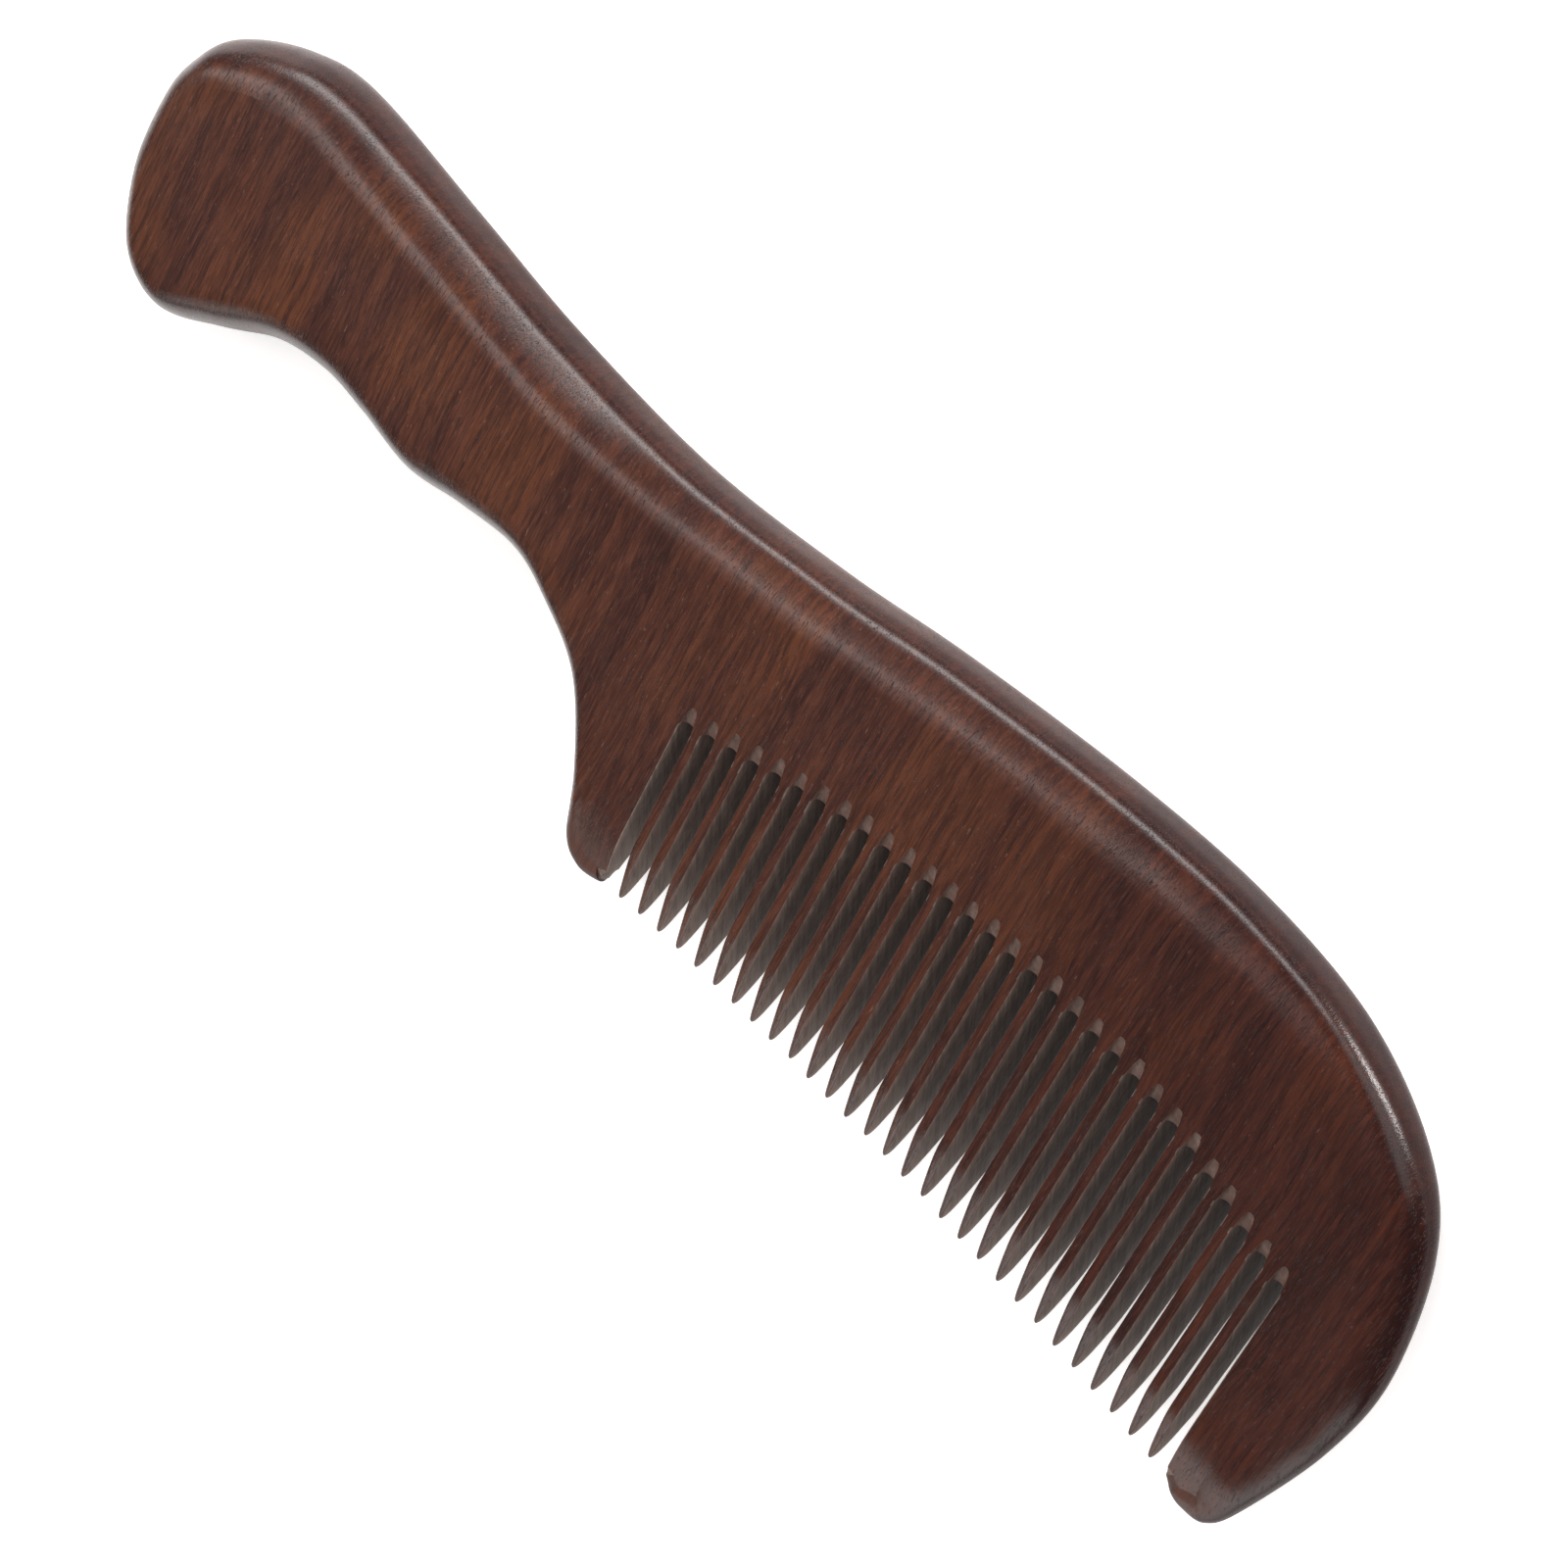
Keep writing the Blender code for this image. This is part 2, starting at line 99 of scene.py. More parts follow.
# Edges of the visual model, in millimetres or as shares
ARRIS = 0.14                   # radius of a softened sawn edge
RIM_REACH = 0.8                # how far a plate's edge strip goes past its rounding
RIDGE_SHARE = 0.93             # the ridge's greatest share of the height of the face
END_ROUNDING = 0.45            # length of the rounding at the very end of a tooth
SOFT_LENGTH = 7.0              # length over which a tooth's edges are rounded off
SLOT_WALL_END = 0.25           # where a slot's straight walls stop, short of its closed end
RUNOUT_BLUNTNESS = 0.35        # power that squares the tip of a run-out
RUNOUT_NARROWING = 0.40        # how much narrower a run-out is at its tip
RUNOUT_CURVE = 0.6             # power of its course from the wall to the tip

# The outline, clockwise from the heel's inner corner: place, edge radius, ridge share
HEEL = ((-0.45, -1.3, 0.5, 0), (0.2, -2.2, 1.0, 0), (3.5, -2.8, 1.6, 0), (6.6, -0.8, 1.8, 0),
        (9.2, 5.8, 2.2, 0), (15.0, 14.6, 3.0, 0))
GRIP = ((0.225, 33.4, 3.6, 0), (0.288, 31.5, 4.2, 0), (0.375, 32.6, 4.5, 0),
        (0.457, 34.2, 4.5, 0), (0.545, 33.3, 4.5, 0), (0.617, 33.0, 4.5, 0),
        (0.700, 34.8, 4.5, 0), (0.786, 39.4, 4.5, 0), (0.873, 43.2, 4.5, 0),
        (0.950, 40.2, 4.5, 0), (0.994, 31.2, 4.5, 0), (0.998, 21.6, 4.5, 0),
        (0.982, 16.2, 4.5, 0), (0.948, 11.8, 4.5, 0.04))
BACK_OF_GRIP = ((0.863, 7.5, 4.5, 0.25), (0.766, 5.9, 4.5, 0.6), (0.565, 7.7, 4.5, 0.95),
                (0.380, 9.4, 4.5, 1), (0.154, 9.75, 4.5, 1))
BACK = ((-0.88, 7.3, 4.5, 1), (-0.49, 4.1, 4.5, 1), (0.0, 1.1, 4.5, 1), (0.40, 0.0, 4.5, 1),
        (0.75, 1.6, 4.5, 1))
UPPER_TOE = ((1.6, 6.8, 5.0, 0.45), (8.7, 14.2, 5.4, 0.0))
TOE = ((12.3, 25.0, 5.2, 0), (11.5, 14.0, 4.8, 0), (7.9, 1.9, 3.8, 0), (5.7, -2.0, 2.6, 0),
       (3.0, -2.8, 1.8, 0), (1.0, -2.5, 1.2, 0), (-0.45, -1.1, 0.5, 0))

# The ridged back, from the mid-plane up: inset, share of the ridge's height, share of the rise
# from the ridge to the face, and the levels spent on the arc about this point
RIDGE_GUIDE = ((-0.25, 0.18, 0.0, 2), (-0.20, 0.42, 0.0, 2), (0.05, 0.67, 0.0, 3),
               (0.60, 0.89, 0.0, 3), (1.40, 1.0, 0.10, 3), (2.5, 1.0, 0.45, 3),
               (3.9, 1.0, 0.81, 3), (5.3, 1.0, 0.96, 2))
# The floor of a run-out, from the slot's wall to its tip: share of the way, share of the rise
RUNOUT_FLOOR = ((0.0, 0.0), (0.18, 0.17), (0.4, 0.36), (0.62, 0.52), (0.8, 0.66), (0.91, 0.79),
                (0.97, 0.92), (1.0, 1.0))
# Distances from the end of a tooth to the sections of its tapered part
POINT_PLACES = (0.0, 0.03, 0.1, 0.22, 0.4, 0.65, 1.0, 1.4, 1.9, 2.5, 3.2, 4.0, 5.0, 6.0, 7.0,
                8.0, 9.5)

# Indices of the outline's points where one member's edge ends and the next begins
HEEL_END = len(HEEL) - 1
RAIL_START = HEEL_END + len(GRIP) + 1
GRIP_END = RAIL_START + len(BACK_OF_GRIP) - 1
RAIL_END = GRIP_END + len(BACK) + len(UPPER_TOE) + 1
TOE_END = RAIL_END + len(TOE) - 1

# Which of the looks a kind of skin wears: polished, sawn or torn
LOOK_OF = {"edge": 0, "face": 0, "joint": 1, "sawn": 1, "runout": 2}

# Studio: direction from the comb, size in metres and brightness of each light
LIGHTS = {
    "back_light": ((-0.46, 0.68, 0.56), (1.3, 0.28), 13.0),
    "back_glow": ((-0.46, 0.68, 0.56), (1.3, 0.60), 2.6),
    "shoulder_light": ((-0.62, -0.11, 0.80), (0.8, 0.20), 2.6),
    "shoulder_glow": ((-0.60, -0.11, 0.82), (1.0, 0.42), 1.9),
    "toe_light": ((0.39, 0.91, 0.14), (0.34, 0.28), 60.0),
    "key_glow": ((0.42, 0.62, 0.66), (0.80, 0.70), 2.4),
    "front_light": ((0.22, -0.88, 0.42), (1.5, 0.60), 2.9),
}
LIGHT_DISTANCE = 1.2
LIGHT_COLOUR = (1.0, 0.955, 0.935)
WORLD_STRENGTH = 0.18
FLOOR_HALF = 1.5
FLOOR_GLOW = 0.45              # keeps the floor white in the comb's shadow
CAMERA_LENS = 117.38
CAMERA_RIGHT = (0.634606, 0.445678, -0.631384)
CAMERA_DOWN = (0.650879, -0.748701, 0.125712)
CAMERA_FORWARD = (-0.416691, -0.490732, -0.765213)
CAMERA_PLACE = (186.3, 280.1, 401.0)   # millimetres from the middle tooth's tip


def catmull_rom(rows, steps):
    """A smooth curve through rows of numbers, with so many steps between neighbours."""
    rows = [tuple(row) for row in rows]
    first = tuple(2 * a - b for a, b in zip(rows[0], rows[1]))
    last = tuple(2 * a - b for a, b in zip(rows[-1], rows[-2]))
    padded = [first] + rows + [last]
    curve = []
    for i in range(len(rows) - 1):
        p0, p1, p2, p3 = padded[i:i + 4]
        for step in range(steps):
            t = step / steps
            curve.append(tuple(
                0.5 * (2 * b + (c - a) * t + (2 * a - 5 * b + 4 * c - d) * t * t
                       + (3 * b - a - 3 * c + d) * t ** 3)
                for a, b, c, d in zip(p0, p1, p2, p3)))
    curve.append(rows[-1])
    return curve


def smoothstep(t):
    t = min(max(t, 0.0), 1.0)
    return t * t * (3 - 2 * t)


def nose_share(distance):
    """How much of its full thickness the wood has at a distance from the tips."""
    if distance >= NOSE_LENGTH:
        return 1.0
    return 1 - (1 - max(distance, 0.0) / NOSE_LENGTH) ** NOSE_POWER


def tapered_half(x, y):
    """Half the thickness of the body, before it is thinned towards the tips."""
    return FACE_HALF_AT_TIPS + (FACE_SLOPE - FACE_WIND * x) * y


def face_half(x, y):
    """Height of the face above the mid-plane."""
    tapered = tapered_half(x, y)
    twist = smoothstep((-ROW_HALF - TWIST_START - x) / TWIST_LENGTH)
    half = tapered + (HANDLE_HALF - tapered) * twist
    if twist < 1 and y < NOSE_LENGTH:
        half = TIP_HALF + (half - TIP_HALF) * nose_share(y + GUARD_DROP)
    return half


def face_normal(x, y):
    """Outward normal of the upper face."""
    step = 0.3
    along_x = (face_half(x + step, y) - face_half(x - step, y)) / (2 * step)
    along_y = (face_half(x, y + step) - face_half(x, y - step)) / (2 * step)
    return Vector((-along_x, -along_y, 1)).normalized()


def tip_y(x):
    return -TIP_SAG * (x / ROW_HALF) ** 2


SLOT_CURVE = catmull_rom(SLOT_TOP, 12)


def slot_top_y(x):
    share = x / ROW_HALF
    for (a, low), (b, high) in zip(SLOT_CURVE, SLOT_CURVE[1:]):
        if share <= b:
            return low + (high - low) * (share - a) / (b - a)
    return SLOT_CURVE[-1][1]


def slot_x(number):
    return (number - (TOOTH_COUNT + 1) / 2 - 0.5) * PITCH


def tooth_x(number):
    return (number - (TOOTH_COUNT + 1) / 2) * PITCH


def slot_end_y(number):
    return slot_top_y(slot_x(number)) - RUNOUT_LENGTH


def stub_y(number):
    return min(slot_end_y(number), slot_end_y(number + 1)) - STUB_LENGTH


def jitter(number, kind, spread):
    """A small repeatable hand-work error."""
    return random.Random(number * 31 + kind).uniform(-spread, spread)


def outline_stations():
    """Places along the outline: x, y, direction inward, edge radius and ridge share."""
    rows = [(-ROW_HALF - x, y, r, s) for x, y, r, s in HEEL]
    rows += [(-ROW_HALF - f * HANDLE_LENGTH, BODY_DEPTH - d, r, s)
             for f, d, r, s in GRIP + BACK_OF_GRIP]
    rows += [(f * ROW_HALF, BODY_DEPTH - d, r, s) for f, d, r, s in BACK]
    rows += [(ROW_HALF + x, BODY_DEPTH - d, r, s) for x, d, r, s in UPPER_TOE]
    rows += [(ROW_HALF + x, y, r, s) for x, y, r, s in TOE]
    curve = catmull_rom(rows, STEPS)
    stations = []
    for i, (x, y, radius, share) in enumerate(curve):
        before = curve[max(i - 1, 0)]
        after = curve[min(i + 1, len(curve) - 1)]
        along = Vector((after[0] - before[0], after[1] - before[1])).normalized()
        inward = Vector((along.y, -along.x))
        stations.append((x, y, inward, radius, min(max(share, 0.0), 1.0)))
    return stations


def ridged_profile(ridge, face, depth):
    """Points (inset, height) over the back strip, soft ridge, bevel and wide shoulder."""
    rise = face - ridge
    bends = [(inset, low * ridge + high * rise) for inset, low, high, _ in RIDGE_GUIDE]
    ends = [tuple((a + b) / 2 for a, b in zip(*pair)) for pair in zip(bends, bends[1:])]
    ends.append((depth, face))
    start = (bends[0][0], 0.0)
    rows = [start]
    for bend, end, (*_, steps) in zip(bends, ends, RIDGE_GUIDE):
        for step in range(1, steps + 1):
            t = step / steps
            rows.append(tuple(a * (1 - t) ** 2 + 2 * b * t * (1 - t) + c * t * t
                              for a, b, c in zip(start, bend, end)))
        start = end
    return rows


def rounded_profile(radius, face, depth):
    """Points (inset, height) over a plain rounded edge and the start of the face."""
    rows = []
    arc_levels = LEVELS - FLAT_LEVELS
    for level in range(arc_levels + 1):
        angle = math.pi / 2 * level / arc_levels
        rows.append((radius * (1 - math.cos(angle)), face * math.sin(angle)))
    for level in range(1, FLAT_LEVELS + 1):
        rows.append((radius + (depth - radius) * level / FLAT_LEVELS, face))
    return rows


def plate_depth(station):
    """How far in from the outline the shaped edge of a plate reaches."""
    radius, share = station[3:]
    return radius + RIM_REACH + (RAIL_DEPTH - radius - RIM_REACH) * share


def edge_column(station, depth):
    """Points from the mid-plane up to the face, across the outer edge at one station."""
    x, y, inward, radius, share = station
    face = face_half(x + inward.x * depth, y + inward.y * depth)
    rounded = rounded_profile(radius, face, depth)
    ridged = ridged_profile(min(RIDGE_HALF, RIDGE_SHARE * face), face, depth)
    column = []
    for (u0, z0), (u1, z1) in zip(rounded, ridged):
        u = u0 + (u1 - u0) * share
        z = z0 + (z1 - z0) * share
        column.append(Vector((x + inward.x * u, y + inward.y * u, z)))
    return column


def strip_normals(strip):
    """Outward normals over a full strip of columns, from each point's neighbours."""
    points = np.array([[tuple(p) for p in column] for column in strip])
    along = np.empty_like(points)
    along[1:-1] = points[2:] - points[:-2]
    along[0] = points[1] - points[0]
    along[-1] = points[-1] - points[-2]
    across = np.empty_like(points)
    across[:, 1:-1] = points[:, 2:] - points[:, :-2]
    across[:, 0] = points[:, 1] - points[:, 0]
    across[:, 0, :2] = 0
    across[:, -1] = points[:, -1] - points[:, -2]
    normals = np.cross(across, along)
    normals /= np.maximum(np.linalg.norm(normals, axis=2, keepdims=True), 1e-12)
    result = []
    for column, rows in zip(strip, normals):
        vectors = [Vector(row) for row in rows]
        vectors[-1] = face_normal(column[-1].x, column[-1].y)
        result.append(vectors)
    return result


class Column:
    """Points from the mid-plane up to the face, and what the skin to the next column is."""

    def __init__(self, points, skin, normals=None):
        self.points = points
        self.skin = skin
        self.normals = normals or [None] * len(points)


def joint_column(x, y):
    """A plain upright column on a joint between two members."""
    face = face_half(x, y)
    points = [Vector((x, y, face * level / LEVELS)) for level in range(LEVELS + 1)]
    normals = [None] * LEVELS + [face_normal(x, y)]
    return Column(points, "joint", normals)


def sawn_column(x, y, into, skin="sawn"):
    """A sawn wall whose top edge is softened; into points from the wall into the wood."""
    face = face_half(x, y)
    wall_levels = LEVELS - ARRIS_LEVELS
    points = [Vector((x, y, (face - ARRIS) * level / wall_levels))
              for level in range(wall_levels + 1)]
    for level in range(1, ARRIS_LEVELS + 1):
        angle = math.pi / 2 * level / ARRIS_LEVELS
        u = ARRIS * (1 - math.cos(angle))
        points.append(Vector((x + into[0] * u, y + into[1] * u,
                              face - ARRIS + ARRIS * math.sin(angle))))
    normals = [None] * LEVELS + [face_normal(x, y)]
    return Column(points, skin, normals)


def is_inside(points, ring):
    """Which of an array of points lie inside a ring."""
    x, y = points[:, 0], points[:, 1]
    inside = np.zeros(len(points), bool)
    for (ax, ay), (bx, by) in zip(ring, np.roll(ring, -1, axis=0)):
        if ay == by:
            continue
        crosses = (ay > y) != (by > y)
        inside ^= crosses & (x < ax + (bx - ax) * (y - ay) / (by - ay))
    return inside


def fill_points(ring, spacing):
    """A staggered grid of points inside a ring and well away from it."""
    low, high = ring.min(0), ring.max(0)
    rows = []
    for j in range(int((high[1] - low[1]) / spacing) + 1):
        for i in range(int((high[0] - low[0]) / spacing) + 1):
            rows.append((low[0] + (i + 0.5 * (j % 2)) * spacing, low[1] + (j + 0.5) * spacing))
    points = np.array(rows)
    points = points[is_inside(points, ring)]
    if not len(points):
        return []
    gaps = np.min(np.linalg.norm(points[:, None] - ring[None], axis=2), axis=1)
    return [Vector(p) for p in points[gaps > 0.45 * spacing]]


class Shell:
    """Collects points, faces, their kinds and the normals that are known exactly."""

    def __init__(self):
        self.points = []
        self.normals = []
        self.faces = []
        self.kinds = []

    def add(self, point, normal=None):
        self.points.append(tuple(point))
        self.normals.append(normal)
        return len(self.points) - 1

    def face(self, corners, kind):
        clean = [c for i, c in enumerate(corners) if c != corners[i - 1]]
        if len(clean) > 2:
            self.faces.append(clean)
            self.kinds.append(kind)


def mirrored(vector):
    """A known normal on the other side of the mid-plane."""
    return None if vector is None else Vector((vector.x, vector.y, -vector.z))


def plate(columns, spacing=FILL):
    """A closed solid from a loop of columns, mirrored about the mid-plane."""
    shell = Shell()
    ring = np.array([tuple(c.points[-1].xy) for c in columns])
    flat = [Vector(p) for p in ring] + fill_points(ring, spacing)
    edges = [(i, (i + 1) % len(ring)) for i in range(len(ring))]
    places, _, triangles, origins, _, _ = delaunay_2d_cdt(flat, edges, [], 1, 1e-5)
    middle = [shell.add(c.points[0], c.normals[0]) for c in columns]
    for side in (1, -1):
        sided = []
        for start, column in zip(middle, columns):
            rest = [shell.add((p.x, p.y, side * p.z), n if side > 0 else mirrored(n))
                    for p, n in zip(column.points[1:], column.normals[1:])]
            sided.append([start] + rest)
        for i, column in enumerate(columns):
            here, there = sided[i], sided[(i + 1) % len(columns)]
            for level in range(LEVELS):
                corners = [here[level], there[level], there[level + 1], here[level + 1]]
                shell.face(corners if side < 0 else corners[::-1], column.skin)
        tops = {}
        for number, place in enumerate(places):
            source = min(origins[number])
            if source < len(sided):
                tops[number] = sided[source][-1]
            else:
                normal = face_normal(*place)
                point = (place.x, place.y, side * face_half(*place))
                tops[number] = shell.add(point, normal if side > 0 else mirrored(normal))
        for triangle in triangles:
            corners = [tops[number] for number in triangle]
            shell.face(corners if side > 0 else corners[::-1], "face")
    return shell


def loft(sections, kinds, normals=None):
    """A closed solid through sections of equal point counts, capped at both ends."""
    shell = Shell()
    count = len(sections[0])
    normals = normals or [[None] * count] * len(sections)
    rings = [[shell.add(p, n) for p, n in zip(section, rows)]
             for section, rows in zip(sections, normals)]
    for ring, following in zip(rings, rings[1:]):
        for i in range(count):
            j = (i + 1) % count
            shell.face([ring[i], ring[j], following[j], following[i]], kinds[i])
    shell.face(rings[0][::-1], "joint")
    shell.face(rings[-1], "joint")
    return shell


def tooth_section(half_width, y, half, round_x, round_z):
    """Points round a tooth, and the kinds of the skins between them."""
    rx = min(round_x, half_width)
    rz = min(round_z, half)
    quarter = [(half_width, (half - rz) * i / 3) for i in range(3)]
    for i in range(6):
        angle = math.pi / 2 * i / 5
        quarter.append((half_width - rx + rx * math.cos(angle),
                        half - rz + rz * math.sin(angle)))
    quarter.append((0.45 * (half_width - rx), half))
    kinds = ["sawn"] * 3 + ["runout"] * 3 + ["edge"] * 3 + ["face"]
    loop = quarter + [(0.0, half)] + [(-x, z) for x, z in quarter[::-1]]
    loop += [(-x, -z) for x, z in quarter[1:]] + [(0.0, -half)]
    loop += [(x, -z) for x, z in quarter[:0:-1]]
    return [Vector((x, y, z)) for x, z in loop], (kinds + kinds[::-1]) * 2


def swell(place, length, least):
    """Rises like a quarter circle, from nearly 0 at place 0 to 1 at the length."""
    return math.sqrt(max(1 - (1 - min(place / length, 1.0)) ** 2, least))


def build_tooth(number):
    """One long tooth: flat polished faces, sawn sides, a thinned and rounded point."""
    x = tooth_x(number)
    low = tip_y(x) + 0.1 + jitter(number, 1, 0.12)
    length = stub_y(number) - low
    lean = jitter(number, 2, 0.05)
    tapered = POINT_PLACES[-1]
    steps = max(int((length - tapered) / SECTION_SPACING), 1)
    places = list(POINT_PLACES)
    places += [tapered + (length - tapered) * i / steps for i in range(1, steps + 1)]
    sections = []
    for place in places:
        y = low + place
        half = (TIP_HALF + (tapered_half(x, y) - TIP_HALF) * nose_share(place)) \
            * swell(place, END_ROUNDING, 0.01)
        soft = 1 - smoothstep(place / SOFT_LENGTH)
        half_width = TOOTH_WIDTH / 2 * swell(place, POINT_LENGTH, 0.004)
        round_x = ARRIS + (half_width - ARRIS) * soft
        round_z = ARRIS + (0.75 * half - ARRIS) * soft
        points, kinds = tooth_section(half_width, y, half, round_x, round_z)
        shift = x + lean * (1 - place / length) ** 2
        sections.append([Vector((p.x + shift, p.y, p.z)) for p in points])
    return loft(sections, kinds)


def build_rail(strip, normals):
    """The rail along the back, from the butt to the toe."""
    first, last = RAIL_START * STEPS, RAIL_END * STEPS
    sections, rows = [], []
    for column, known in zip(strip[first:last + 1], normals[first:last + 1]):
        sections.append(column + [Vector((p.x, p.y, -p.z)) for p in column[:0:-1]])
        rows.append(known + [mirrored(n) for n in known[:0:-1]])
    kinds = ["edge"] * LEVELS + ["joint"] + ["edge"] * LEVELS
    return loft(sections, kinds, rows)


def outer_columns(strip, normals, first, last):
    """The shaped outer edge between two of the outline's points."""
    columns = []
    for i in range(first * STEPS, last * STEPS + 1):
        columns.append(Column(strip[i], "edge", list(normals[i])))
    columns[-1].skin = "joint"
    return columns


def rail_line(station, depth):
    """The point at a depth inside the outline."""
    x, y, inward = station[:3]
    return Vector((x + inward.x * depth, y + inward.y * depth))


def rail_columns(stations, first, last):
    """Joint walls under the rail, between two of the outline's points."""
    return [joint_column(*rail_line(stations[i], RAIL_DEPTH))
            for i in range(first * STEPS, last * STEPS + 1)]


def straight_columns(start, end, count):
    """Joint columns between two places, without the ends."""
    return [joint_column(*start.lerp(end, i / (count + 1))) for i in range(1, count + 1)]


def guard_wall(x, start, end, into):
    """Sawn columns along the wall of a guard that faces the teeth, from one y to another."""
    return [sawn_column(x, start + (end - start) * i / WALL_STEPS, into)
            for i in range(WALL_STEPS + 1)]


def three_way(stations):
    """Where the handle, the web and the heel guard meet."""
    station = stations[HEEL_END * STEPS]
    return rail_line(station, station[3] + THREE_WAY_INSET)


def build_handle(stations, strip, normals):
    """The grip, butt and neck, below the rail."""
    columns = outer_columns(strip, normals, HEEL_END, RAIL_START)
    columns += rail_columns(stations, RAIL_START, GRIP_END)
    start = columns[-1].points[0].xy
    meeting = three_way(stations)
    columns += straight_columns(start, meeting, JOINT_STEPS)
    columns.append(joint_column(*meeting))
    return plate(columns)


def runout_column(number, angle, end, length):
    """A column up a slot's closed end and over the run-out that the saw left in the face."""
    x = slot_x(number)
    sine, cosine = max(math.sin(angle), 0.0), math.cos(angle)
    base = Vector((x + SLOT_HALF * cosine, end + 0.3 * SLOT_HALF * sine))
    ragged = jitter(number * 40 + int(angle * 10), 5, 0.05) * sine
    blunt = 0.0
    if abs(cosine) > 1e-6:
        blunt = math.copysign(abs(cosine) ** RUNOUT_BLUNTNESS, cosine)
    course = sine ** RUNOUT_CURVE
    top = Vector((x + SLOT_HALF * blunt * (1 - RUNOUT_NARROWING * course) + ragged,
                  end + length * course + ragged))
    face = face_half(top.x, top.y)
    depth = RUNOUT_DEPTH * (0.35 + 0.65 * sine) + 0.05
    steep = LEVELS + 1 - len(RUNOUT_FLOOR)
    points = [Vector((base.x, base.y, (face - depth) * i / steep)) for i in range(steep)]
    for along, rise in RUNOUT_FLOOR:
        place = base.lerp(top, along)
        points.append(Vector((place.x, place.y, face - depth + depth * rise)))
    return Column(points, "runout", [None] * LEVELS + [face_normal(top.x, top.y)])


def slot_columns(number, right_low, left_low):
    """Up one wall of a slot, round its closed end and down the other wall."""
    x = slot_x(number)
    end = slot_end_y(number) + jitter(number, 3, 0.12)
    length = RUNOUT_LENGTH + jitter(number, 4, 0.15)
    columns = [sawn_column(x + SLOT_HALF, right_low, (1, 0)),
               sawn_column(x + SLOT_HALF, end - SLOT_WALL_END, (1, 0), "runout")]
    columns += [runout_column(number, math.pi * step / SLOT_STEPS, end, length)
                for step in range(SLOT_STEPS + 1)]
    columns.append(sawn_column(x - SLOT_HALF, end - SLOT_WALL_END, (-1, 0)))
    columns.append(sawn_column(x - SLOT_HALF, left_low, (-1, 0), "joint"))
    return columns


def build_web(stations):
    """The plate under the rail, with the ends of the slots and the roots of the teeth."""
    rail = rail_columns(stations, GRIP_END, RAIL_END)
    columns = list(rail)
    toe_y = rail[-1].points[0].y
    corner = three_way(stations)
    for number in range(TOOTH_COUNT + 1, 0, -1):
        right_low = toe_y if number > TOOTH_COUNT else stub_y(number)
        left_low = stub_y(1) if number == 1 else stub_y(number - 1)
        columns += slot_columns(number, right_low, left_low)
    columns += straight_columns(columns[-1].points[0].xy, corner, SHORT_JOINT_STEPS)
    columns.append(joint_column(*corner))
    columns += straight_columns(corner, rail[0].points[0].xy, JOINT_STEPS)
    return plate(columns, WEB_FILL)


def build_heel_guard(stations, strip, normals):
    """The end of the plate beside the first tooth."""
    columns = outer_columns(strip, normals, 0, HEEL_END)
    meeting = three_way(stations)
    top = Vector((-GUARD_WALL, stub_y(1)))
    columns.append(joint_column(*meeting))
    columns += straight_columns(meeting, top, SHORT_JOINT_STEPS)
    columns += guard_wall(-GUARD_WALL, top.y, tip_y(ROW_HALF) + NOSE_LENGTH / 4, (-1, 0))
    return plate(columns)


def build_toe_guard(stations, strip, normals):
    """The rounded free end beside the last tooth."""
    columns = outer_columns(strip, normals, RAIL_END, TOE_END)
    columns[-1].skin = "sawn"
    under_rail = rail_line(stations[RAIL_END * STEPS], RAIL_DEPTH)
    columns += guard_wall(GUARD_WALL, tip_y(ROW_HALF) + NOSE_LENGTH / 4, under_rail.y, (1, 0))
    columns[-1].skin = "joint"
    columns.append(joint_column(*(under_rail + Vector((-0.01, 0)))))
    return plate(columns)


# Materials

